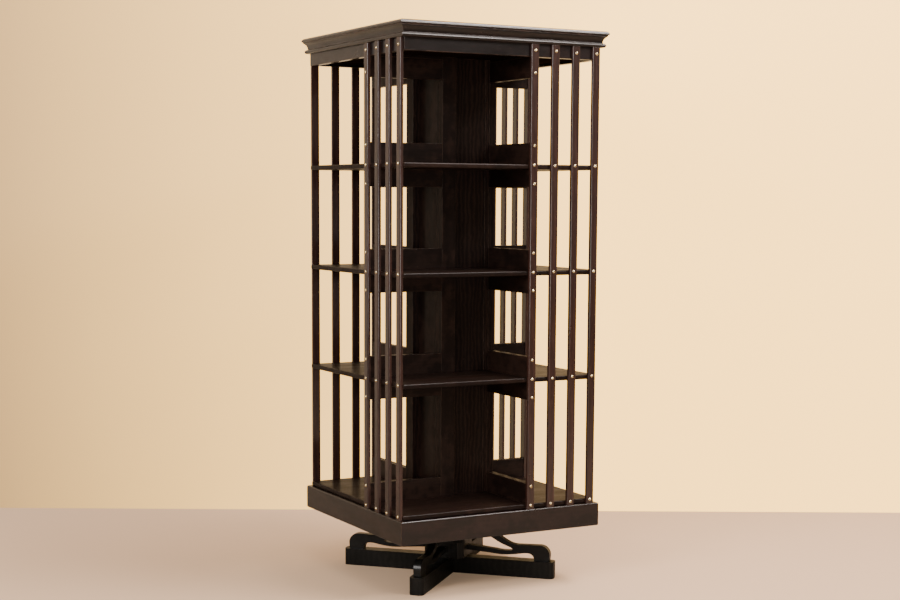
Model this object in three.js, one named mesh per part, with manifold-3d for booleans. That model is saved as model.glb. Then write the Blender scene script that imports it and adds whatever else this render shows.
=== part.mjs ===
import * as THREE from "three";
import { mergeVertices } from "three/addons/utils/BufferGeometryUtils.js";
import Module from "manifold-3d";

// Revolving bookcase: a four-sided slatted case that turns on a fixed cross-shaped base.
// Millimetres, +Z up. The floor is z = 0 and the turning axis is the Z axis.
// The case has quarter-turn symmetry: every side is the front (-Y) side turned about Z.

const wasm = await Module();
wasm.setup();

// ---- case ----
const SIDES = ["front", "right", "back", "left"];
const FACE_HALF = 285; // axis to the shelf edges, where the slats are fixed
const TOP_Z = 1455;
const TOP_HALF = 303.5; // axis to the lip of the top
const TOP_ROUND_R = 8.5; // quarter round along the top edge
const TOP_LIP_IN = 1.7; // small step back under the lip
const TOP_BODY_IN = 3.5; // the board's side below the lip
const TOP_LIP_UNDER_Z = 1445.5;
const TOP_BODY_TOP_Z = 1444.7;
const TOP_UNDER_Z = 1443;
const CORNICE_UNDER_Z = 1413.5;
const CORNICE_INNER = 265;
const BEAD_REACH = 296.8; // axis to the half-round bead
const BEAD_R = 5.3;
const COVE_R = 19;
const COVE_Z = 1425.5; // centre of the hollow, level with its lower end
const COVE_END_IN = 13.5; // from the lip to the hollow's lower end
const COVE_END_DEG = 120; // where the hollow meets the top board
const FRIEZE_UNDER_Z = 1381.5;
const FRIEZE_THICK = 16;
const SHELF_THICK = 12.5;
const SHELF_EDGE_R = 3.5;
const CEILING_UNDER_Z = 1388;
const SHELF_TOPS = { shelf_1: 1111, shelf_2: 838.5, shelf_3: 561.5 };
const BOTTOM_TOP_Z = 228.5;
const SKIRT_HALF = 296;
const SKIRT_TOP_Z = 215.5;
const SKIRT_UNDER_Z = 153.5;
const SKIRT_THICK = 18;
const SKIRT_EDGE_R = 3.5;

const SLAT_FIRST_X = 73.7;
const SLAT_PITCH = 61.7;
const SLAT_WIDE = 22;
const SLAT_THICK = 8.8;
const SLAT_ROUND_R = 3;
const SLATS_PER_SIDE = 4;

const COLUMN_HALF = 76;
const COLUMN_BOARD = 13;
const PARTITION_THICK = 19;
const STILE_WIDE = 40;
const LOW_RAIL = 54;
const HIGH_RAIL = 46;
const TOP_RAIL = 59; // the rail under the ceiling board

// ---- bearing ----
const CIRCLE_STEPS = 48;
const SPINDLE_R = 14;
const SPINDLE_FOOT_Z = 3;
const SPINDLE_COLLAR_R = 26;
const SPINDLE_COLLAR_THICK = 2.5;
const PIVOT_R = 9;
const PIVOT_SHOULDER_Z = 1314;
const PIVOT_TIP_Z = 1338;
const RUNNING_GAP = 0.1;
const FIT_GAP = 0.05;
const CUP_UNDER_Z = 1322;
const CUP_FLANGE = 4;
const CUP_FLANGE_R = 25;
const CUP_R = 16;
const CUP_TOP_Z = 1342;
const BLOCK_TOP_Z = 1356;
const BOARD_UNDER_Z = 155;
const BOARD_THICK = 20;
const BOARD_WIDE = 160;
const BUSH_R = 22;
const BUSH_FLANGE_R = 30;
const BUSH_FLANGE = 3;
const SHAFT_HOLE_R = 32; // clear hole through the bottom shelf

// ---- base ----
const ARM_REACH = 300;
const ARM_WIDE = 39;
const ARM_HIGH = 46;
const ARM_CORNER_R = 12;
const ARM_TURN = Math.PI / 4; // the arms run along the diagonals of the case
const JOINT_GAP = 0.3;
const HUB_HALF = 56;
const HUB_CHAMFER = 14;
const HUB_TOP_Z = 92;
const CAP_HALF = 62.5;
const CAP_CHAMFER = 4;
const CAP_TOP_Z = 134;
const PLATE_HALF = 100;
const PLATE_CHAMFER = 12;
const PLATE_TOP_Z = 150;
const BRACKET_THICK = 20;
const BRACKET_FOOT_INNER_R = 245; // the foot's heel, measured from the axis
const BRACKET_FOOT_OUTER_R = 285;
const THREAD_R = 9; // the spindle's foot, below its shoulder
const THREAD_TOP_Z = 47;
const NUT_R = 15;
const NUT_TOP_Z = 15;
const NUT_POCKET_R = 16.5;

const woodCase = new THREE.MeshStandardMaterial({ color: 0x4a2e26, roughness: 0.42, metalness: 0 });
const woodInside = new THREE.MeshStandardMaterial({ color: 0x3a2a22, roughness: 0.6, metalness: 0 });
const woodSlat = new THREE.MeshStandardMaterial({ color: 0x57342a, roughness: 0.4, metalness: 0 });
const woodBase = new THREE.MeshStandardMaterial({ color: 0x191614, roughness: 0.5, metalness: 0 });
const ironBracket = new THREE.MeshStandardMaterial({ color: 0x151515, roughness: 0.55, metalness: 0.3 });
const steel = new THREE.MeshStandardMaterial({ color: 0x77797c, roughness: 0.35, metalness: 1 });
const brass = new THREE.MeshStandardMaterial({ color: 0xb08d4a, roughness: 0.35, metalness: 1 });

const bookcase = new THREE.Group();
bookcase.name = "revolving_bookcase";

// ---- helpers ----

function addMesh(name, geometry, material) {
  const mesh = new THREE.Mesh(geometry, material);
  mesh.name = name;
  bookcase.add(mesh);
}

// A quarter turn about Z with whole-number cosines, so that neighbours still meet exactly.
function quarterTurn(geometry, quarters) {
  const cosine = [1, 0, -1, 0][quarters];
  const sine = [0, 1, 0, -1][quarters];
  const matrix = new THREE.Matrix4();
  matrix.set(cosine, -sine, 0, 0, sine, cosine, 0, 0, 0, 0, 1, 0, 0, 0, 0, 1);
  return geometry.applyMatrix4(matrix);
}

function box(lowX, highX, lowY, highY, lowZ, highZ) {
  const geometry = new THREE.BoxGeometry(highX - lowX, highY - lowY, highZ - lowZ);
  return geometry.translate((lowX + highX) / 2, (lowY + highY) / 2, (lowZ + highZ) / 2);
}

// A prism of a plan outline, standing from lowZ to highZ.
function prism(outline, lowZ, highZ) {
  const shape = new THREE.Shape(outline);
  const geometry = new THREE.ExtrudeGeometry(shape, { depth: highZ - lowZ, bevelEnabled: false });
  return geometry.translate(0, 0, lowZ);
}

// Points of a square of the given half size with its corners cut by straight chamfers.
function chamferedSquare(half, chamfer) {
  const near = half - chamfer;
  return [
    [half, -near], [half, near], [near, half], [-near, half],
    [-half, near], [-half, -near], [-near, -half], [near, -half],
  ].map(([x, y]) => new THREE.Vector2(x, y));
}

// A solid of revolution about Z from a profile of [radius, z] that runs upwards.
function turned(profile, steps = CIRCLE_STEPS) {
  const points = profile.map(([r, z]) => new THREE.Vector2(r, z));
  return new THREE.LatheGeometry(points, steps).rotateX(Math.PI / 2);
}

// A square solid whose four sides all follow the profile of [half width, z], running upwards.
function squareTurned(profile) {
  const levels = profile.length;
  const corners = [[1, -1], [1, 1], [-1, 1], [-1, -1]];
  const vertices = [];
  for (const [half, z] of profile) {
    for (const [x, y] of corners) {
      vertices.push(x * half, y * half, z);
    }
  }
  const faces = [0, 2, 1, 0, 3, 2];
  for (let level = 0; level < levels - 1; level++) {
    for (let i = 0; i < 4; i++) {
      const a = level * 4 + i;
      const b = level * 4 + ((i + 1) % 4);
      faces.push(a, b, b + 4, a, b + 4, a + 4);
    }
  }
  const top = (levels - 1) * 4;
  faces.push(top, top + 1, top + 2, top, top + 2, top + 3);
  return indexed(vertices, faces);
}

function indexed(vertices, faces) {
  const geometry = new THREE.BufferGeometry();
  geometry.setAttribute("position", new THREE.Float32BufferAttribute(vertices, 3));
  geometry.setIndex(faces);
  geometry.computeVertexNormals();
  return geometry;
}

// A length of moulding along the front side, cut at both ends by the mitre planes through the axis.
// The profile is a closed loop of [distance from the axis, z], anticlockwise.
function mitredRun(profile) {
  const count = profile.length;
  const vertices = [];
  for (const [out, z] of profile) {
    vertices.push(-out, -out, z);
  }
  for (const [out, z] of profile) {
    vertices.push(out, -out, z);
  }
  const faces = [];
  for (let i = 0; i < count; i++) {
    const next = (i + 1) % count;
    faces.push(i, count + i, count + next, i, count + next, next);
  }
  const flat = profile.map(([out, z]) => new THREE.Vector2(out, z));
  for (const [a, b, c] of THREE.ShapeUtils.triangulateShape(flat, [])) {
    faces.push(a, b, c);
    faces.push(count + a, count + c, count + b);
  }
  return indexed(vertices, faces);
}

// Points of an arc as [x, y] pairs, both ends included.
function arc(centreX, centreY, radius, fromDeg, toDeg, steps) {
  const points = [];
  for (let i = 0; i <= steps; i++) {
    const angle = ((fromDeg + ((toDeg - fromDeg) * i) / steps) * Math.PI) / 180;
    points.push([centreX + radius * Math.cos(angle), centreY + radius * Math.sin(angle)]);
  }
  return points;
}

function toSolid(geometry) {
  const plain = geometry.clone();
  plain.deleteAttribute("normal");
  plain.deleteAttribute("uv");
  const merged = mergeVertices(plain, 1e-3);
  const mesh = new wasm.Mesh({
    numProp: 3,
    vertProperties: merged.attributes.position.array,
    triVerts: new Uint32Array(merged.index.array),
  });
  return new wasm.Manifold(mesh);
}

function fromSolid(solid) {
  const mesh = solid.getMesh();
  return indexed(Array.from(mesh.vertProperties), Array.from(mesh.triVerts));
}

function cut(geometry, tools) {
  const body = tools.reduce((left, tool) => left.subtract(toSolid(tool)), toSolid(geometry));
  return fromSolid(body);
}

function cylinder(radius, lowZ, highZ) {
  return turned([[0, lowZ], [radius, lowZ], [radius, highZ], [0, highZ]]);
}

// ---- case parts ----

function topBoard() {
  const body = TOP_HALF - TOP_BODY_IN;
  const roundOver = arc(TOP_HALF - TOP_ROUND_R, TOP_Z - TOP_ROUND_R, TOP_ROUND_R, 0, 90, 12);
  const lip = [[body, TOP_UNDER_Z], [body, TOP_BODY_TOP_Z], [TOP_HALF - TOP_LIP_IN, TOP_LIP_UNDER_Z]];
  return squareTurned([...lip, ...roundOver]);
}

function corniceRun() {
  const bead = arc(BEAD_REACH - BEAD_R, CORNICE_UNDER_Z + BEAD_R, BEAD_R, -90, 80, 12);
  const cove = arc(TOP_HALF - COVE_END_IN + COVE_R, COVE_Z, COVE_R, 180, COVE_END_DEG, 10);
  const outer = cove[cove.length - 1][0];
  const inner = [[CORNICE_INNER, TOP_UNDER_Z], [CORNICE_INNER, CORNICE_UNDER_Z]];
  return mitredRun([...bead, ...cove, [outer, TOP_UNDER_Z], ...inner]);
}

function friezeRun() {
  const inner = FACE_HALF - FRIEZE_THICK;
  return mitredRun([
    [inner, FRIEZE_UNDER_Z],
    [FACE_HALF - 1, FRIEZE_UNDER_Z],
    [FACE_HALF, FRIEZE_UNDER_Z + 1],
    [FACE_HALF, CORNICE_UNDER_Z],
    [inner, CORNICE_UNDER_Z],
  ]);
}

function skirtRun() {
  const r = SKIRT_EDGE_R;
  const inner = SKIRT_HALF - SKIRT_THICK;
  const low = arc(SKIRT_HALF - r, SKIRT_UNDER_Z + r, r, -90, 0, 4);
  const high = arc(SKIRT_HALF - r, SKIRT_TOP_Z - r, r, 0, 90, 4);
  return mitredRun([[inner, SKIRT_UNDER_Z], ...low, ...high, [inner, SKIRT_TOP_Z]]);
}

function shelfBlank(topZ, thick) {
  const r = SHELF_EDGE_R;
  const low = arc(FACE_HALF - r, topZ - thick + r, r, -90, 0, 4);
  const high = arc(FACE_HALF - r, topZ - r, r, 0, 90, 4);
  return squareTurned([...low, ...high]);
}

// A shelf with an opening for the column and a notch for the stile of each partition.
function shelf(topZ) {
  const lowZ = topZ - SHELF_THICK - 1;
  const highZ = topZ + 1;
  const tools = [box(-COLUMN_HALF, COLUMN_HALF, -COLUMN_HALF, COLUMN_HALF, lowZ, highZ)];
  for (let quarter = 0; quarter < 4; quarter++) {
    const outer = COLUMN_HALF + PARTITION_THICK;
    const notch = box(COLUMN_HALF - 5, outer, -COLUMN_HALF, STILE_WIDE - COLUMN_HALF, lowZ, highZ);
    tools.push(quarterTurn(notch, quarter));
  }
  return cut(shelfBlank(topZ, SHELF_THICK), tools);
}

function bottomShelf() {
  const thick = BOTTOM_TOP_Z - SKIRT_TOP_Z;
  return cut(shelfBlank(BOTTOM_TOP_Z, thick), [cylinder(SHAFT_HOLE_R, SKIRT_TOP_Z - 1, BOTTOM_TOP_Z + 1)]);
}

function ceilingBoard() {
  const half = FACE_HALF - FRIEZE_THICK;
  return box(-half, half, -half, half, CEILING_UNDER_Z, CEILING_UNDER_Z + SHELF_THICK);
}

// One board of the hollow column: it covers the edge of the board on its left.
function columnBoard() {
  const inner = COLUMN_HALF - COLUMN_BOARD;
  return box(-COLUMN_HALF, inner, -COLUMN_HALF, -inner, BOTTOM_TOP_Z, CEILING_UNDER_Z);
}

// A full-height partition: one stile against the column and a pair of rails in every tier.
function partition() {
  const floors = [BOTTOM_TOP_Z, SHELF_TOPS.shelf_3, SHELF_TOPS.shelf_2, SHELF_TOPS.shelf_1];
  const ceilings = [...floors.slice(1).map((z) => z - SHELF_THICK), CEILING_UNDER_Z];
  const outerY = -FACE_HALF;
  const stileY = -COLUMN_HALF;
  const backY = STILE_WIDE - COLUMN_HALF;
  const outline = [];
  floors.forEach((floorZ, tier) => {
    const lowTop = floorZ + LOW_RAIL;
    const ceilingZ = ceilings[tier];
    const highUnder = ceilingZ - (tier < floors.length - 1 ? HIGH_RAIL : TOP_RAIL);
    if (tier > 0) {
      outline.push([stileY, floorZ]);
    }
    outline.push([outerY, floorZ], [outerY, lowTop], [stileY, lowTop]);
    outline.push([stileY, highUnder], [outerY, highUnder]);
    if (tier < floors.length - 1) {
      outline.push([outerY, ceilingZ], [stileY, ceilingZ]);
    }
  });
  // the topmost rail is notched under the frieze
  const friezeInnerY = outerY + FRIEZE_THICK;
  outline.push([outerY, FRIEZE_UNDER_Z], [friezeInnerY, FRIEZE_UNDER_Z], [friezeInnerY, CEILING_UNDER_Z]);
  outline.push([backY, CEILING_UNDER_Z], [backY, BOTTOM_TOP_Z]);
  const points = outline.map(([y, z]) => new THREE.Vector2(y, z));
  const geometry = prism(points, 0, PARTITION_THICK);
  const matrix = new THREE.Matrix4().makeBasis(
    new THREE.Vector3(0, 1, 0),
    new THREE.Vector3(0, 0, 1),
    new THREE.Vector3(1, 0, 0),
  );
  return geometry.applyMatrix4(matrix).translate(COLUMN_HALF, 0, 0);
}

// A slat on the front side: square ends, long outer edges rounded.
function slat(index) {
  const r = SLAT_ROUND_R;
  const left = SLAT_FIRST_X + index * SLAT_PITCH;
  const right = left + SLAT_WIDE;
  const back = -FACE_HALF;
  const roundY = back - SLAT_THICK + r;
  const leftRound = arc(left + r, roundY, r, 180, 270, 4);
  const rightRound = arc(right - r, roundY, r, 270, 360, 4);
  const outline = [[left, back], ...leftRound, ...rightRound, [right, back]];
  return prism(outline.map(([x, y]) => new THREE.Vector2(x, y)), SKIRT_TOP_Z, CORNICE_UNDER_Z);
}

// ---- bearing parts ----

// The bar stands in the base, guides the case at the bottom and carries it on its tip.
function spindle() {
  const collarTop = PLATE_TOP_Z + SPINDLE_COLLAR_THICK;
  const tip = arc(PIVOT_R - 3, PIVOT_TIP_Z - 3, 3, 0, 90, 4);
  return turned([
    [0, SPINDLE_FOOT_Z],
    [THREAD_R - 1, SPINDLE_FOOT_Z],
    [THREAD_R, SPINDLE_FOOT_Z + 1],
    [THREAD_R, THREAD_TOP_Z],
    [SPINDLE_R, THREAD_TOP_Z],
    [SPINDLE_R, PLATE_TOP_Z],
    [SPINDLE_COLLAR_R, PLATE_TOP_Z],
    [SPINDLE_COLLAR_R, collarTop],
    [SPINDLE_R, collarTop],
    [SPINDLE_R, PIVOT_SHOULDER_Z - 2],
    [SPINDLE_R - 2, PIVOT_SHOULDER_Z],
    [PIVOT_R, PIVOT_SHOULDER_Z],
    ...tip,
    [0, PIVOT_TIP_Z],
  ]);
}

function spindleNut() {
  const nut = cylinderOf(6, NUT_R, SPINDLE_FOOT_Z + 1, NUT_TOP_Z);
  return cut(nut, [cylinder(THREAD_R + FIT_GAP, 0, ARM_HIGH)]);
}

function cylinderOf(steps, radius, lowZ, highZ) {
  return turned([[0, lowZ], [radius, lowZ], [radius, highZ], [0, highZ]], steps);
}

function pivotCup() {
  const bore = PIVOT_R + RUNNING_GAP;
  return turned([
    [bore, CUP_UNDER_Z],
    [CUP_FLANGE_R, CUP_UNDER_Z],
    [CUP_FLANGE_R, CUP_UNDER_Z + CUP_FLANGE],
    [CUP_R, CUP_UNDER_Z + CUP_FLANGE],
    [CUP_R, CUP_TOP_Z],
    [0, CUP_TOP_Z],
    [0, PIVOT_TIP_Z],
    [bore, PIVOT_TIP_Z],
    [bore, CUP_UNDER_Z],
  ]);
}

function pivotBlock() {
  const half = COLUMN_HALF - COLUMN_BOARD;
  const lowZ = CUP_UNDER_Z + CUP_FLANGE;
  const block = box(-half, half, -half, half, lowZ, BLOCK_TOP_Z);
  return cut(block, [cylinder(CUP_R + FIT_GAP, lowZ - 1, CUP_TOP_Z)]);
}

function guideBush() {
  const bore = SPINDLE_R + RUNNING_GAP;
  const top = BOARD_UNDER_Z + BOARD_THICK;
  return turned([
    [bore, BOARD_UNDER_Z],
    [BUSH_R, BOARD_UNDER_Z],
    [BUSH_R, top],
    [BUSH_FLANGE_R, top],
    [BUSH_FLANGE_R, top + BUSH_FLANGE],
    [bore, top + BUSH_FLANGE],
    [bore, BOARD_UNDER_Z],
  ]);
}

function bearingBoard() {
  const half = SKIRT_HALF - SKIRT_THICK;
  const top = BOARD_UNDER_Z + BOARD_THICK;
  const board = box(-half, half, -BOARD_WIDE / 2, BOARD_WIDE / 2, BOARD_UNDER_Z, top);
  return cut(board, [cylinder(BUSH_R + FIT_GAP, BOARD_UNDER_Z - 1, top + 1)]);
}

// ---- base parts ----

function armBlank() {
  const near = ARM_REACH - ARM_CORNER_R;
  const side = ARM_WIDE / 2 - ARM_CORNER_R;
  const outline = [
    ...arc(near, -side, ARM_CORNER_R, -90, 0, 7),
    ...arc(near, side, ARM_CORNER_R, 0, 90, 7),
    ...arc(-near, side, ARM_CORNER_R, 90, 180, 7),
    ...arc(-near, -side, ARM_CORNER_R, 180, 270, 7),
  ].map(([x, y]) => new THREE.Vector2(x, y));
  return prism(outline, 0, ARM_HIGH);
}

// Each arm runs right across the base; the two are half-lapped at the centre.
function arm(lapLowZ, lapHighZ, boreTools) {
  const half = ARM_WIDE / 2 + JOINT_GAP;
  const lap = box(-half, half, -ARM_WIDE, ARM_WIDE, lapLowZ, lapHighZ);
  return cut(armBlank(), [lap, ...boreTools]);
}

function hubBlock() {
  return boredPrism(HUB_HALF, HUB_CHAMFER, ARM_HIGH, HUB_TOP_Z);
}

function boredPrism(half, chamfer, lowZ, highZ) {
  const block = prism(chamferedSquare(half, chamfer), lowZ, highZ);
  return cut(block, [cylinder(SPINDLE_R + FIT_GAP, lowZ - 1, highZ + 1)]);
}

// The scroll bracket as an outline of [radius, z]: a foot and knuckle over the end of the arm,
// a strap running inwards, then two branches, one to the hub and one up to the plate.
function bracket() {
  const hubR = HUB_HALF + JOINT_GAP;
  const shape = new THREE.Shape();
  const spline = (points) => shape.splineThru(points.map(([r, z]) => new THREE.Vector2(r, z)));
  shape.moveTo(BRACKET_FOOT_INNER_R, ARM_HIGH);
  shape.lineTo(BRACKET_FOOT_OUTER_R, ARM_HIGH);
  shape.lineTo(287, 48);
  shape.lineTo(288, 62);
  spline([[287.5, 68], [285, 75], [280.5, 81], [274, 86], [266, 88.7], [257, 89]]);
  shape.lineTo(199, 87.5);
  spline([[187, 88.8], [172, 94], [154, 104.5], [131, 119], [109, CAP_TOP_Z]]);
  shape.lineTo(80, CAP_TOP_Z);
  spline([[104, 117], [130, 101], [147, 91.5], [164, 84], [178, 79], [184, 75]]);
  spline([[182.5, 71], [174, 69.8], [157, 69.5], [132, 72], [91, 76]]);
  shape.lineTo(hubR, 78.5);
  shape.lineTo(hubR, 65);
  spline([[88, 63], [125, 60], [157, 58], [188, 60.3], [216, 65]]);
  spline([[229.5, 65], [239, 61.5], [244, 54], [BRACKET_FOOT_INNER_R, ARM_HIGH]]);
  const geometry = new THREE.ExtrudeGeometry(shape, {
    depth: BRACKET_THICK,
    bevelEnabled: false,
    curveSegments: 5,
  });
  const upright = new THREE.Matrix4().makeBasis(
    new THREE.Vector3(1, 0, 0),
    new THREE.Vector3(0, 0, 1),
    new THREE.Vector3(0, -1, 0),
  );
  return geometry.applyMatrix4(upright).translate(0, BRACKET_THICK / 2, 0);
}

// ---- assembly ----

function buildCase() {
  addMesh("top_board", topBoard(), woodCase);
  addMesh("ceiling_board", ceilingBoard(), woodInside);
  for (const [name, topZ] of Object.entries(SHELF_TOPS)) {
    addMesh(name, shelf(topZ), woodInside);
  }
  addMesh("bottom_shelf", bottomShelf(), woodInside);
  SIDES.forEach((side, quarter) => {
    addMesh("cornice_" + side, quarterTurn(corniceRun(), quarter), woodCase);
    addMesh("frieze_" + side, quarterTurn(friezeRun(), quarter), woodCase);
    addMesh("skirt_" + side, quarterTurn(skirtRun(), quarter), woodCase);
    addMesh("column_" + side, quarterTurn(columnBoard(), quarter), woodInside);
    addMesh("partition_" + side, quarterTurn(partition(), quarter), woodInside);
    for (let index = 0; index < SLATS_PER_SIDE; index++) {
      addMesh("slat_" + side + "_" + (index + 1), quarterTurn(slat(index), quarter), woodSlat);
    }
  });
  addMesh("bearing_board", bearingBoard(), woodInside);
  addMesh("guide_bush", guideBush(), brass);
  addMesh("pivot_block", pivotBlock(), woodInside);
  addMesh("pivot_cup", pivotCup(), brass);
}

function buildBase() {
  const middleZ = ARM_HIGH / 2;
  const bore = cylinder(THREAD_R + FIT_GAP, -1, ARM_HIGH + 1);
  const pocket = cylinder(NUT_POCKET_R, -1, NUT_TOP_Z);
  const lower = arm(middleZ, ARM_HIGH + 1, [bore, pocket]);
  const upper = arm(-1, middleZ, [bore]);
  addMesh("base_arm_lower", lower.rotateZ(ARM_TURN), woodBase);
  addMesh("base_arm_upper", upper.rotateZ(ARM_TURN + Math.PI / 2), woodBase);
  addMesh("hub_block", hubBlock().rotateZ(ARM_TURN), woodBase);
  const cap = boredPrism(CAP_HALF, CAP_CHAMFER, HUB_TOP_Z, CAP_TOP_Z);
  const plate = boredPrism(PLATE_HALF, PLATE_CHAMFER, CAP_TOP_Z, PLATE_TOP_Z);
  addMesh("hub_cap", cap.rotateZ(ARM_TURN), woodBase);
  addMesh("top_plate", plate.rotateZ(ARM_TURN), woodBase);
  for (let i = 0; i < 4; i++) {
    addMesh("bracket_" + (i + 1), bracket().rotateZ(ARM_TURN + (i * Math.PI) / 2), ironBracket);
  }
  addMesh("spindle", spindle(), steel);
  addMesh("spindle_nut", spindleNut(), steel);
}

buildCase();
buildBase();

export default bookcase;
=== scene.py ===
import math
import random

import bmesh
import bpy
from mathutils import Matrix, Vector


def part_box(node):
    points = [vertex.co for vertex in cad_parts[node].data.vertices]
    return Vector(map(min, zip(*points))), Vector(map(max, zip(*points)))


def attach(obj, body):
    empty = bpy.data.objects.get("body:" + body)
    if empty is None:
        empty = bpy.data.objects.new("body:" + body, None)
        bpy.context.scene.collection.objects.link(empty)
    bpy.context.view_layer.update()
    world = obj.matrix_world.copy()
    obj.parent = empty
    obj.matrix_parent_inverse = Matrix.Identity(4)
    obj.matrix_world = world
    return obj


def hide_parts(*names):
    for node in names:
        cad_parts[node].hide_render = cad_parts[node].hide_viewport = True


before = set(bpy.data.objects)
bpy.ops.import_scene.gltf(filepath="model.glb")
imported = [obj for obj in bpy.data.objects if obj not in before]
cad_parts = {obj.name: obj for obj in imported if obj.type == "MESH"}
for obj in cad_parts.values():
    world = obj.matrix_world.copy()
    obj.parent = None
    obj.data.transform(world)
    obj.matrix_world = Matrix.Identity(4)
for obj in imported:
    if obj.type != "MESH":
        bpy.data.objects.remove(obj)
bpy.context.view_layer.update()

random.seed(11)

# Sides follow each other by quarter turns about Z. Shelves are numbered from the top down.
SIDES = ["front", "right", "back", "left"]
SLATS = 4
SHELVES = ["shelf_1", "shelf_2", "shelf_3"]

# ---------------------------------------------------------------- node helpers


class Tree:
    """A short way to write shader nodes."""

    def __init__(self, name):
        self.material = bpy.data.materials.new(name)
        self.material.use_nodes = True
        self.nodes = self.material.node_tree.nodes
        self.links = self.material.node_tree.links
        self.nodes.clear()

    def add(self, kind, settings=None, **inputs):
        node = self.nodes.new("ShaderNode" + kind)
        for key, value in (settings or {}).items():
            setattr(node, key, value)
        for key, value in inputs.items():
            self.set(node, key.replace("_", " "), value)
        return node

    def set(self, node, key, value):
        socket = node.inputs[int(key)] if key.isdigit() else node.inputs[key]
        if isinstance(value, bpy.types.NodeSocket):
            self.links.new(value, socket)
        else:
            socket.default_value = value

    def attribute(self, name, socket):
        return self.add("Attribute", {"attribute_name": name}).outputs[socket]

    def math(self, operation, first, second, third=None, clamp=False):
        node = self.nodes.new("ShaderNodeMath")
        node.operation = operation
        node.use_clamp = clamp
        for index, value in enumerate((first, second, third)):
            if value is not None:
                self.set(node, str(index), value)
        return node.outputs[0]

    def vector_math(self, operation, first, second, socket="Vector"):
        node = self.nodes.new("ShaderNodeVectorMath")
        node.operation = operation
        self.set(node, "0", first)
        self.set(node, "1", second)
        return node.outputs[socket]

    def scaled(self, vector, factors):
        return self.vector_math("MULTIPLY", vector, factors)

    def noise(self, vector, scale, detail=3.0, roughness=0.55):
        node = self.add("TexNoise", Vector=vector, Scale=scale, Detail=detail, Roughness=roughness)
        return node.outputs["Fac"]

    def ramp(self, value, stops):
        node = self.add("ValToRGB", Fac=value)
        elements = node.color_ramp.elements
        while len(elements) < len(stops):
            elements.new(0.5)
        for element, (position, colour) in zip(elements, stops):
            element.position = position
            element.color = (*colour, 1.0)
        return node.outputs["Color"]

    def between(self, value, low, high, to_low=0.0, to_high=1.0):
        node = self.add("MapRange", Value=value)
        for index, number in enumerate((low, high, to_low, to_high)):
            node.inputs[index + 1].default_value = number
        return node.outputs["Result"]

    def mix(self, factor, first, second):
        node = self.nodes.new("ShaderNodeMix")
        node.data_type = "RGBA"
        self.set(node, "0", factor)
        for index, value in ((6, first), (7, second)):
            if isinstance(value, tuple):
                value = (*value, 1.0)
            self.set(node, str(index), value)
        return node.outputs[2]

    def bump(self, height, strength, distance, normal=None):
        node = self.add("Bump", Strength=strength, Distance=distance, Height=height)
        if normal is not None:
            self.set(node, "Normal", normal)
        return node.outputs["Normal"]

    def finish(self, shader):
        target = self.nodes.new("ShaderNodeOutputMaterial")
        self.links.new(shader.outputs[0], target.inputs[0])
        return self.material

    def principled(self, **inputs):
        return self.finish(self.add("BsdfPrincipled", **inputs))


def times(colour, factor):
    return tuple(channel * factor for channel in colour)


# ---------------------------------------------------------------- materials

# The grain attribute holds each board's own coordinates in metres, x along its grain, so a pattern's
# three scales are along the grain and twice across it. The edge attribute is 1 on the rounded arrises.


def wood_fibres(t, grain, figure):
    """The tone of the growth rings and fibres, then the fine streaks alone, then the open pores."""
    sway = t.noise(t.scaled(grain, (2.0, 9.0, 9.0)), 1.0, 2.0)
    aside = t.add("CombineXYZ", X=0.0, Y=t.between(sway, 0.0, 1.0, -0.02, 0.02), Z=0.0).outputs[0]
    wavy = t.vector_math("ADD", grain, aside)
    broad = t.noise(t.scaled(wavy, (1.6, 17.0, 17.0)), 1.0, 2.0)
    rings = t.add("TexWave", {"wave_type": "BANDS", "bands_direction": "Y"},
                  Vector=t.scaled(wavy, (0.5, 1.0, 0.55)), Scale=27.0, Distortion=5.0, Detail=3.0,
                  Detail_Scale=2.2).outputs["Fac"]
    streaks = t.noise(t.scaled(wavy, (7.0, 210.0, 210.0)), 1.0, 4.0, 0.62)
    pores = t.noise(t.scaled(wavy, (75.0, 1900.0, 1900.0)), 1.0, 2.0, 0.5)
    tone = t.math("MULTIPLY_ADD", rings, 0.30 * figure, t.math("MULTIPLY", broad, 0.45))
    tone = t.math("MULTIPLY_ADD", streaks, 0.34, tone)
    return tone, streaks, t.between(pores, 0.30, 0.42, 1.0, 0.0)


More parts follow.
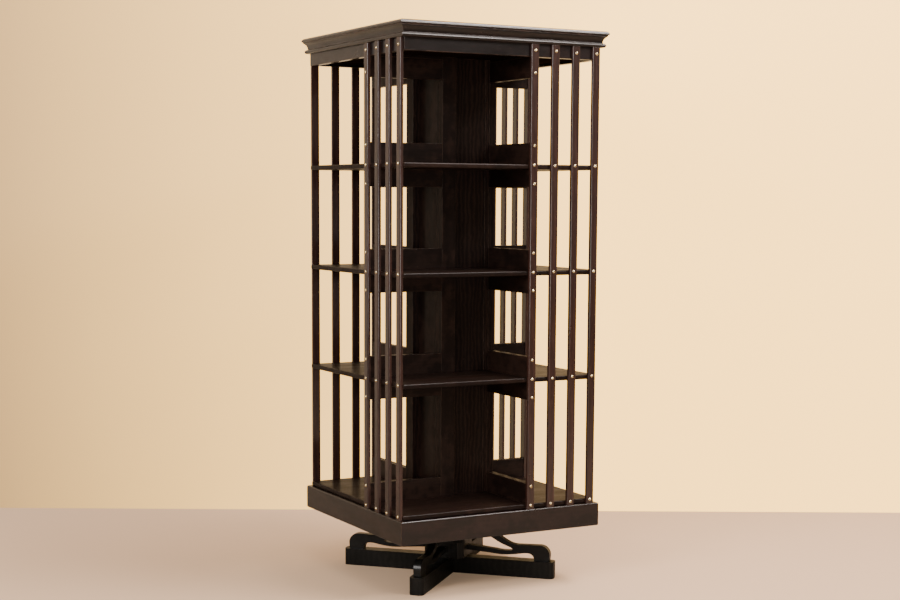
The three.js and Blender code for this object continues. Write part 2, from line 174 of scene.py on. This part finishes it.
def wood(name, tones, gloss=0.34, coat=0.42, specular=0.25, figure=1.0):
    """Polished old hardwood, in dark, middle and light tones and the tone of its worn places."""
    dark, middle, light, worn = tones
    t = Tree(name)
    grain = t.attribute("grain", "Vector")
    tone, streaks, pores = wood_fibres(t, grain, figure)
    colour = t.ramp(tone, [(0.25, dark), (0.52, middle), (0.85, light)])
    colour = t.mix(t.math("MULTIPLY", pores, 0.45), colour, times(dark, 0.35))
    # cloudy dark patches in the polish, a thin rubbed line along the arrises, and small chips
    cloud = t.noise(grain, 6.0, 3.0, 0.6)
    colour = t.mix(t.between(cloud, 0.45, 0.75, 0.0, 0.40), colour, times(middle, 0.55))
    rubbed = t.noise(t.scaled(grain, (22.0, 60.0, 60.0)), 1.0, 3.0, 0.7)
    wear = t.math("MULTIPLY", t.attribute("edge", "Fac"), t.between(rubbed, 0.40, 0.62), clamp=True)
    colour = t.mix(t.math("MULTIPLY", wear, 0.75), colour, worn)
    chips = t.noise(grain, 160.0, 2.0, 0.6)
    colour = t.mix(t.between(chips, 0.70, 0.80, 0.0, 0.35), colour, worn)
    smears = t.noise(t.scaled(grain, (9.0, 26.0, 26.0)), 1.0, 4.0, 0.65)
    rough = t.between(smears, 0.3, 0.75, gloss - 0.08, gloss + 0.12)
    rough = t.math("MULTIPLY_ADD", wear, 0.12, rough)
    height = t.math("MULTIPLY_ADD", streaks, 0.5, t.math("MULTIPLY", pores, -0.8))
    ripple = t.noise(t.scaled(grain, (5.0, 14.0, 14.0)), 1.0, 1.0)
    return t.principled(Base_Color=colour, Roughness=rough, Normal=t.bump(height, 0.35, 0.00022),
                        Coat_Weight=coat, Coat_Roughness=t.math("MULTIPLY", rough, 0.36),
                        Coat_Normal=t.bump(ripple, 0.25, 0.0006), Coat_IOR=1.5,
                        Specular_IOR_Level=specular)


def black_paint(name, tint, rust, gloss):
    """Black finish over cast metal: fine casting texture and brown showing through on the edges."""
    t = Tree(name)
    grain = t.attribute("grain", "Vector")
    patch = t.noise(grain, 38.0, 4.0, 0.65)
    colour = t.mix(t.between(patch, 0.35, 0.7), tint, times(tint, 2.1))
    rubbed = t.between(t.noise(grain, 85.0, 3.0, 0.7), 0.50, 0.68)
    wear = t.math("MULTIPLY", t.attribute("edge", "Fac"), rubbed, clamp=True)
    colour = t.mix(t.math("MULTIPLY", wear, 0.6), colour, rust)
    rough = t.between(patch, 0.3, 0.75, gloss - 0.08, gloss + 0.16)
    skin = t.bump(t.noise(grain, 620.0, 3.0, 0.6), 0.3, 0.0003)
    normal = t.bump(t.noise(grain, 55.0, 2.0), 0.3, 0.0012, skin)
    return t.principled(Base_Color=colour, Roughness=rough, Normal=normal, Coat_Weight=0.18,
                        Coat_Roughness=t.math("MULTIPLY", rough, 0.6), Specular_IOR_Level=0.2)


def metal(name, clean, dull, low, high, brushed):
    """Bare metal with a dulled film and fine turning or rubbing marks."""
    t = Tree(name)
    grain = t.attribute("grain", "Vector")
    film = t.noise(grain, 140.0, 4.0, 0.65)
    colour = t.mix(t.between(film, 0.38, 0.70), clean, dull)
    rough = t.between(film, 0.3, 0.75, low, high)
    marks = t.noise(t.scaled(grain, brushed), 1.0, 2.0)
    return t.principled(Base_Color=colour, Metallic=1.0, Roughness=rough,
                        Normal=t.bump(marks, 0.2, 0.0001))


CASE_TONES = [(0.0038, 0.0019, 0.0017), (0.0092, 0.0044, 0.0038),
              (0.021, 0.0098, 0.0078), (0.11, 0.060, 0.040)]
INSIDE_TONES = [(0.0064, 0.0036, 0.0028), (0.0142, 0.0074, 0.0056),
                (0.030, 0.0156, 0.0112), (0.08, 0.048, 0.032)]
SLAT_TONES = [(0.0170, 0.0066, 0.0048), (0.0370, 0.0140, 0.0100),
              (0.072, 0.0275, 0.0185), (0.17, 0.084, 0.054)]
BASE_TONES = [(0.0054, 0.0050, 0.0042), (0.0098, 0.0088, 0.0072),
              (0.0190, 0.0160, 0.0130), (0.050, 0.038, 0.029)]

CASE_WOOD = wood("case_wood", CASE_TONES, coat=0.7)
INSIDE_WOOD = wood("inside_wood", INSIDE_TONES, gloss=0.46, coat=0.16, specular=0.08)
MATT_WOOD = wood("ceiling_wood", INSIDE_TONES, gloss=0.7, coat=0.0, specular=0.0)
SLAT_WOOD = wood("slat_wood", SLAT_TONES, coat=0.9, specular=0.3, figure=0.6)
BASE_WOOD = wood("base_wood", BASE_TONES, gloss=0.42, coat=0.16, specular=0.12, figure=0.6)
BRACKET_BLACK = black_paint("bracket_iron", (0.0050, 0.0049, 0.0043), (0.034, 0.025, 0.019), 0.34)
STEEL = metal("steel", (0.50, 0.50, 0.51), (0.26, 0.25, 0.24), 0.26, 0.45, (60.0, 60.0, 3000.0))
BRASS = metal("brass", (0.94, 0.80, 0.52), (0.66, 0.48, 0.25), 0.14, 0.34, (900.0, 900.0, 900.0))

# ---------------------------------------------------------------- mesh helpers

WELD = 5e-6  # vertices nearer than this are one
FLAT_DEG = 0.6  # faces that meet at less than this are one
GRAIN_SHIFT = 4.0  # how far apart two boards are in the wood's pattern
GRAIN_TILT = 0.03  # how far a board's grain runs off its length

AXES = {"x": (0, 1, 2), "y": (1, 0, 2), "z": (2, 0, 1)}  # along the grain first

# How far each arris is rounded.
CORNICE_ARRIS = 0.0004
METAL_ARRIS = 0.0004
SLAT_ARRIS = 0.0005
BOARD_ARRIS = 0.0006
STICK_ARRIS = 0.0007
HIDDEN_ARRIS = 0.0008
SKIRT_ARRIS = 0.0012
HUB_ARRIS = 0.0012
ARM_ARRIS = 0.0014
CAST_ARRIS = 0.0028


def from_node(node):
    """A clean copy of a CAD node's mesh: welded, with its flat faces joined up."""
    bm = bmesh.new()
    bm.from_mesh(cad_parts[node].data)
    bmesh.ops.remove_doubles(bm, verts=bm.verts, dist=WELD)
    bmesh.ops.dissolve_limit(bm, angle_limit=math.radians(FLAT_DEG), verts=bm.verts[:], edges=bm.edges[:])
    return bm


def soften(bm, width, segments=2, sharper_than=30.0):
    """Rounds the arrises, and marks the new faces so that the finish can wear. Edges that turn by less
    than an angle in degrees are the facets of a curved face and stay."""
    layer = bm.faces.layers.float.new("edge")
    limit = math.radians(sharper_than)
    arrises = [e for e in bm.edges if e.is_manifold and e.calc_face_angle() > limit]
    made = bmesh.ops.bevel(bm, geom=arrises, offset=width, segments=segments, profile=0.5,
                           affect="EDGES", clamp_overlap=True)
    for face in made["faces"]:
        face[layer] = 1.0


def add_grain(bm, axis):
    """Stores each board's own coordinates, x along its grain, shifted so that no two boards match."""
    layer = bm.verts.layers.float_vector.new("grain")
    shift = Vector([random.uniform(-GRAIN_SHIFT, GRAIN_SHIFT) for _ in range(3)])
    tilt = random.uniform(-GRAIN_TILT, GRAIN_TILT)
    for vert in bm.verts:
        x, y, z = (vert.co[i] for i in AXES[axis])
        vert[layer] = Vector((x + tilt * y, y - tilt * x, z)) + shift


def as_object(bm, name):
    mesh = bpy.data.meshes.new(name)
    bm.to_mesh(mesh)
    bm.free()
    made = bpy.data.objects.new(name, mesh)
    bpy.context.scene.collection.objects.link(made)
    return made


def join(parts):
    """Several closed meshes as one, keeping their layers."""
    whole = bmesh.new()
    whole.faces.layers.float.new("edge")
    whole.verts.layers.float_vector.new("grain")
    for bm in parts:
        scratch = bpy.data.meshes.new("scratch")
        bm.to_mesh(scratch)
        bm.free()
        whole.from_mesh(scratch)
        bpy.data.meshes.remove(scratch)
    return whole


def place(bm, name, body, material, nodes=()):
    """Makes the mesh a piece that rides on a body, in place of the CAD nodes."""
    bmesh.ops.recalc_face_normals(bm, faces=bm.faces[:])
    for face in bm.faces:
        face.smooth = True
    piece = as_object(bm, name)
    piece.data.materials.append(material)
    flat = piece.modifiers.new("normals", "WEIGHTED_NORMAL")
    flat.weight = 90
    flat.keep_sharp = True
    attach(piece, body)
    if nodes:
        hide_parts(*nodes)
    return piece


def board(node, body, material, axis, width, segments=2, sharper_than=30.0):
    """A CAD node's shape with rounded arrises and its own run of grain."""
    bm = from_node(node)
    soften(bm, width, segments, sharper_than)
    add_grain(bm, axis)
    place(bm, "v_" + node, body, material, (node,))


def block(low, high, axis):
    """One separate stick of wood between two corners."""
    bm = bmesh.new()
    matrix = Matrix.Translation((low + high) / 2) @ Matrix.Diagonal((*(high - low), 1.0))
    bmesh.ops.create_cube(bm, size=1.0, matrix=matrix)
    soften(bm, STICK_ARRIS)
    add_grain(bm, axis)
    return bm


def quarter_turn(quarter):
    """Takes what is built for the front round to another side."""
    return Matrix.Rotation(math.radians(90 * quarter), 4, "Z")


# ---------------------------------------------------------------- case

board("top_board", "case", CASE_WOOD, "x", BOARD_ARRIS, sharper_than=40.0)
board("ceiling_board", "case", MATT_WOOD, "x", BOARD_ARRIS)
for name in ["bottom_shelf"] + SHELVES:
    board(name, "case", INSIDE_WOOD, "x", BOARD_ARRIS, sharper_than=50.0)

for quarter, side in enumerate(SIDES):
    along = "xy"[quarter % 2]
    board("cornice_" + side, "case", CASE_WOOD, along, CORNICE_ARRIS, sharper_than=35.0)
    board("frieze_" + side, "case", CASE_WOOD, along, BOARD_ARRIS)
    board("skirt_" + side, "case", CASE_WOOD, along, SKIRT_ARRIS, 3, 40.0)
    board("column_" + side, "case", INSIDE_WOOD, "z", HIDDEN_ARRIS)
    for index in range(1, SLATS + 1):
        node = f"slat_{side}_{index}"
        board(node, "case", SLAT_WOOD, "z", SLAT_ARRIS, sharper_than=40.0)

# Each partition is a stile on the column with two rails in every tier.
STILE = 0.040
LOW_RAIL = 0.054
HIGH_RAIL = 0.046
TOP_RAIL = 0.059  # the rail under the ceiling board


def tiers():
    """Floor and ceiling height of every tier, from the bottom up."""
    floors = [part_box("bottom_shelf")[1].z] + [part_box(n)[1].z for n in reversed(SHELVES)]
    ceilings = [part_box(n)[0].z for n in reversed(SHELVES)] + [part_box("ceiling_board")[0].z]
    return list(zip(floors, ceilings))


def partition(side, quarter):
    low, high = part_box("partition_front")
    stile_y = high.y - STILE
    frieze_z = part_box("frieze_front")[0].z
    ceiling_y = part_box("ceiling_board")[0].y

    def rail(from_z, to_z, from_y=low.y):
        return block(Vector((low.x, from_y, from_z)), Vector((high.x, stile_y, to_z)), "y")

    parts = [block(Vector((low.x, stile_y, low.z)), high, "z")]
    for floor_z, ceiling_z in tiers():
        parts.append(rail(floor_z, floor_z + LOW_RAIL))
        if ceiling_z < high.z:
            parts.append(rail(ceiling_z - HIGH_RAIL, ceiling_z))
    # the topmost rail is notched under the frieze
    parts.append(rail(high.z - TOP_RAIL, frieze_z))
    parts.append(rail(frieze_z, high.z, ceiling_y))
    bm = join(parts)
    bmesh.ops.transform(bm, matrix=quarter_turn(quarter), verts=bm.verts[:])
    place(bm, "v_partition_" + side, "case", INSIDE_WOOD, ("partition_" + side,))


for quarter, side in enumerate(SIDES):
    partition(side, quarter)

# ---------------------------------------------------------------- screws

HEAD_R = 0.0042
HEAD_HIGH = 0.0029
HEAD_RINGS = 7
HEAD_SPOKES = 28
SLOT_WIDE = 0.0008
SLOT_DEEP = 0.0011
SHELF_SCREW_UP = 0.003  # above the middle of the board's edge
FRIEZE_SCREW_UP = -0.0008
LOW_RAIL_SCREW = 0.046  # above the shelf
HIGH_RAIL_SCREW = 0.0385  # below the shelf
TOP_RAIL_SCREW = 0.0465  # below the ceiling board
OFF_LINE = 0.0006  # how far a screw strays sideways
OFF_LEVEL = 0.001  # and up or down


def screw_dome():
    """A round head, its flat seat at the origin and its crown towards -Y."""
    bm = bmesh.new()
    ball = (HEAD_R**2 + HEAD_HIGH**2) / (2 * HEAD_HIGH)
    for i in range(HEAD_RINGS):
        angle = math.asin(HEAD_R / ball) * (1 - i / HEAD_RINGS)
        radius = ball * math.sin(angle)
        height = ball * math.cos(angle) - (ball - HEAD_HIGH)
        for j in range(HEAD_SPOKES):
            turn = 2 * math.pi * j / HEAD_SPOKES
            bm.verts.new((radius * math.cos(turn), -height, radius * math.sin(turn)))
    crown = bm.verts.new((0, -HEAD_HIGH, 0))
    bm.verts.ensure_lookup_table()
    rings = [bm.verts[i * HEAD_SPOKES:(i + 1) * HEAD_SPOKES] for i in range(HEAD_RINGS)]
    for outer, inner in zip(rings, rings[1:]):
        for j in range(HEAD_SPOKES):
            k = (j + 1) % HEAD_SPOKES
            bm.faces.new([outer[j], outer[k], inner[k], inner[j]])
    for j in range(HEAD_SPOKES):
        bm.faces.new([rings[-1][j], rings[-1][(j + 1) % HEAD_SPOKES], crown])
    bm.faces.new(rings[0])
    bmesh.ops.recalc_face_normals(bm, faces=bm.faces[:])
    return bm


def screw_mesh():
    """The round head with its slot cut."""
    head = as_object(screw_dome(), "head")
    bm = bmesh.new()
    size = Matrix.Diagonal((HEAD_R * 2.4, SLOT_DEEP * 2, SLOT_WIDE, 1.0))
    bmesh.ops.create_cube(bm, size=1.0, matrix=Matrix.Translation((0, -HEAD_HIGH, 0)) @ size)
    cutter = as_object(bm, "cutter")
    slot = head.modifiers.new("slot", "BOOLEAN")
    slot.operation = "DIFFERENCE"
    slot.solver = "EXACT"
    slot.object = cutter
    graph = bpy.context.evaluated_depsgraph_get()
    made = bpy.data.meshes.new_from_object(head.evaluated_get(graph), depsgraph=graph)
    bpy.data.objects.remove(head)
    bpy.data.objects.remove(cutter)
    return made


def middle_z(node):
    low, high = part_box(node)
    return (low.z + high.z) / 2


def screw_levels():
    """Heights of the screws through every slat, and of the further ones through a side's first slat."""
    every = [middle_z(n) + SHELF_SCREW_UP for n in ["bottom_shelf"] + SHELVES]
    every.append(middle_z("frieze_front") + FRIEZE_SCREW_UP)
    rails = []
    for floor_z, ceiling_z in tiers():
        rails += [floor_z + LOW_RAIL_SCREW, ceiling_z - HIGH_RAIL_SCREW]
    rails[-1] = ceiling_z - TOP_RAIL_SCREW
    return every, rails


def side_screws(side, quarter, screw):
    every_slat, first_slat = screw_levels()
    whole = bmesh.new()
    for index in range(1, SLATS + 1):
        low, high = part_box(f"slat_front_{index}")
        for z in every_slat + (first_slat if index == 1 else []):
            x = (low.x + high.x) / 2 + random.uniform(-OFF_LINE, OFF_LINE)
            spot = Vector((x, low.y, z + random.uniform(-OFF_LEVEL, OFF_LEVEL)))
            spin = Matrix.Rotation(random.uniform(0, math.pi), 4, "Y")
            matrix = quarter_turn(quarter) @ Matrix.Translation(spot) @ spin
            before = len(whole.verts)
            whole.from_mesh(screw)
            whole.verts.ensure_lookup_table()
            bmesh.ops.transform(whole, matrix=matrix, verts=whole.verts[before:])
    whole.faces.layers.float.new("edge")
    add_grain(whole, "z")
    place(whole, "screws_" + side, "case", BRASS).data.shade_flat()


SCREW = screw_mesh()
for quarter, side in enumerate(SIDES):
    side_screws(side, quarter, SCREW)

# ---------------------------------------------------------------- bearing

for name in ["bearing_board", "pivot_block"]:
    board(name, "case", INSIDE_WOOD, "x", HIDDEN_ARRIS)
for name in ["guide_bush", "pivot_cup"]:
    board(name, "case", BRASS, "z", METAL_ARRIS)

# ---------------------------------------------------------------- base

board("base_arm_lower", "base", BASE_WOOD, "x", ARM_ARRIS, 3)
board("base_arm_upper", "base", BASE_WOOD, "y", ARM_ARRIS, 3)
for name in ["hub_block", "hub_cap", "top_plate"]:
    board(name, "base", BASE_WOOD, "z", HUB_ARRIS, 3)
for index in range(1, 5):
    board(f"bracket_{index}", "base", BRACKET_BLACK, "x", CAST_ARRIS, 4)
for name in ["spindle", "spindle_nut"]:
    board(name, "base", STEEL, "z", METAL_ARRIS)

# ---------------------------------------------------------------- stage

YAW = math.radians(28.533)
PITCH = math.radians(6.611)
ROLL = math.radians(0.305)
ahead = Vector((math.sin(YAW), math.cos(YAW), 0))
across = Vector((math.cos(YAW), -math.sin(YAW), 0))

# Seen is what the camera meets. Felt is what the object meets in its light and reflections, and it is
# darker, because a pale room would drown the dark wood. The glows on the wall and floor are painted light
# that changes across the picture; a glow's two strengths are at the left and at the right of the picture.
GLOW_FROM = -1.5
GLOW_TO = 0.5
GLOW_FELT = 0.2
FLOOR_SEEN = (0.80, 0.55, 0.36)
FLOOR_FELT = (0.30, 0.24, 0.19)
FLOOR_GLOW = (0.15, 0.12)
FLOOR_GLOW_COLOUR = (1.0, 0.70, 0.46)
WALL_SEEN = (0.77, 0.51, 0.24)
WALL_FELT = (0.42, 0.37, 0.31)
# the wall's painted light: a glow far brighter at the right of the picture than at the left
WALL_GLOW = (0.30, 3.5)
WALL_GLOW_COLOUR = (1.0, 0.57, 0.12)
ROOM_COLOUR = (1.0, 0.90, 0.79)
ROOM_SEEN = 1.6
ROOM_FELT = 0.22

FLOOR_HALF = 14
WALL_BEHIND = 0.86
WALL_HALF = 9
WALL_HIGH = 5


def stage_material(name, seen, felt, glow, glow_colour):
    """A matt surface that only shows from its front, with a painted glow that changes across the picture."""
    t = Tree(name)
    point = t.add("TexCoord").outputs["Object"]
    direct = t.add("LightPath").outputs["Is Camera Ray"]
    cloud = t.between(t.noise(point, 1.3, 3.0), 0.3, 0.7, 0.0, 0.06)
    tone = t.mix(cloud, seen, times(seen, 0.8))
    place_across = t.vector_math("DOT_PRODUCT", point, tuple(across), "Value")
    # painted light: the glow's strength changes across the picture, and the object gets a fifth of it
    strength = t.between(place_across, GLOW_FROM, GLOW_TO, *glow)
    share = t.between(direct, 0.0, 1.0, GLOW_FELT, 1.0)
    shader = t.add("BsdfPrincipled", Base_Color=t.mix(direct, felt, tone), Roughness=0.9,
                   Emission_Color=(*glow_colour, 1.0), Emission_Strength=t.math("MULTIPLY", strength, share))
    blend = t.nodes.new("ShaderNodeMixShader")
    t.set(blend, "0", t.add("NewGeometry").outputs["Backfacing"])
    t.set(blend, "1", shader.outputs[0])
    t.set(blend, "2", t.add("BsdfTransparent").outputs[0])
    return t.finish(blend)


def sheet(name, corners, material):
    mesh = bpy.data.meshes.new(name)
    mesh.from_pydata(corners, [], [tuple(range(len(corners)))])
    mesh.materials.append(material)
    made = bpy.data.objects.new(name, mesh)
    bpy.context.scene.collection.objects.link(made)


def lay_floor():
    near = [(-FLOOR_HALF, -FLOOR_HALF, 0), (FLOOR_HALF, -FLOOR_HALF, 0)]
    far = [(FLOOR_HALF, FLOOR_HALF, 0), (-FLOOR_HALF, FLOOR_HALF, 0)]
    paint = stage_material("floor_pale", FLOOR_SEEN, FLOOR_FELT, FLOOR_GLOW, FLOOR_GLOW_COLOUR)
    sheet("floor", near + far, paint)


def raise_wall():
    """A wall behind the object, square to the camera."""
    foot = ahead * WALL_BEHIND
    top = Vector((0, 0, WALL_HIGH))
    corners = [foot - across * WALL_HALF, foot + across * WALL_HALF]
    corners += [corner + top for corner in reversed(corners)]
    paint = stage_material("wall_pale", WALL_SEEN, WALL_FELT, WALL_GLOW, WALL_GLOW_COLOUR)
    sheet("wall", [tuple(corner) for corner in corners], paint)


def light_room():
    world = bpy.data.worlds.new("studio")
    bpy.context.scene.world = world
    world.use_nodes = True
    nodes = world.node_tree.nodes
    background = nodes["Background"]
    background.inputs["Color"].default_value = (*ROOM_COLOUR, 1.0)
    direct = nodes.new("ShaderNodeLightPath").outputs["Is Camera Ray"]
    level = nodes.new("ShaderNodeMapRange")
    level.inputs["To Min"].default_value = ROOM_FELT
    level.inputs["To Max"].default_value = ROOM_SEEN
    world.node_tree.links.new(direct, level.inputs["Value"])
    world.node_tree.links.new(level.outputs["Result"], background.inputs["Strength"])


# name, place, aim, width, height, power in watts, colour
SOFTBOXES = [
    ("key_left", (-4.2, -1.9, 2.3), (0, 0, 0.8), 1.4, 2.0, 150, (1.0, 0.95, 0.92)),
    ("front", (2.0, -2.9, 3.2), (0, 0, 1.0), 1.8, 0.6, 95, (1.0, 0.93, 0.88)),
    ("over_right", (1.5, -1.0, 3.9), (0, -0.3, 1.4), 2.2, 1.0, 145, (1.0, 0.89, 0.85)),
    ("overhead", (-0.6, -1.4, 3.9), (0, -0.4, 0), 2.4, 2.4, 50, (1.0, 0.94, 0.86)),
    ("fill_low", (-1.4, -4.4, 0.7), (0, 0, 0.3), 1.6, 0.8, 42, (1.0, 0.95, 0.90)),
]


def softbox(name, spot, aim, width, height, power, colour):
    lamp = bpy.data.lights.new(name, "AREA")
    lamp.shape = "RECTANGLE"
    lamp.size = width
    lamp.size_y = height
    lamp.energy = power
    lamp.color = colour
    made = bpy.data.objects.new(name, lamp)
    made.location = spot
    made.rotation_euler = (Vector(aim) - Vector(spot)).to_track_quat("-Z", "Y").to_euler()
    bpy.context.scene.collection.objects.link(made)


lay_floor()
raise_wall()
light_room()
for box in SOFTBOXES:
    softbox(*box)

# ---------------------------------------------------------------- camera

SENSOR_WIDE = 36.0
FOCAL_LENGTH = 64.22
SHIFT_UP = 0.093
CAMERA_SPOT = Vector((-2.0801, -3.8289, 1.0252))


def set_camera():
    """Turned by the yaw, tipped down by the pitch, then rolled about its own axis."""
    forward = ahead * math.cos(PITCH) - Vector((0, 0, math.sin(PITCH)))
    rise = across.cross(forward)
    right = math.cos(ROLL) * across + math.sin(ROLL) * rise
    up = -math.sin(ROLL) * across + math.cos(ROLL) * rise
    lens = bpy.data.cameras.new("camera")
    lens.sensor_width = SENSOR_WIDE
    lens.lens = FOCAL_LENGTH
    lens.shift_y = SHIFT_UP
    camera = bpy.data.objects.new("camera", lens)
    bpy.context.scene.collection.objects.link(camera)
    basis = Matrix((right, up, -forward)).transposed().to_4x4()
    camera.matrix_world = Matrix.Translation(CAMERA_SPOT) @ basis
    bpy.context.scene.camera = camera


set_camera()
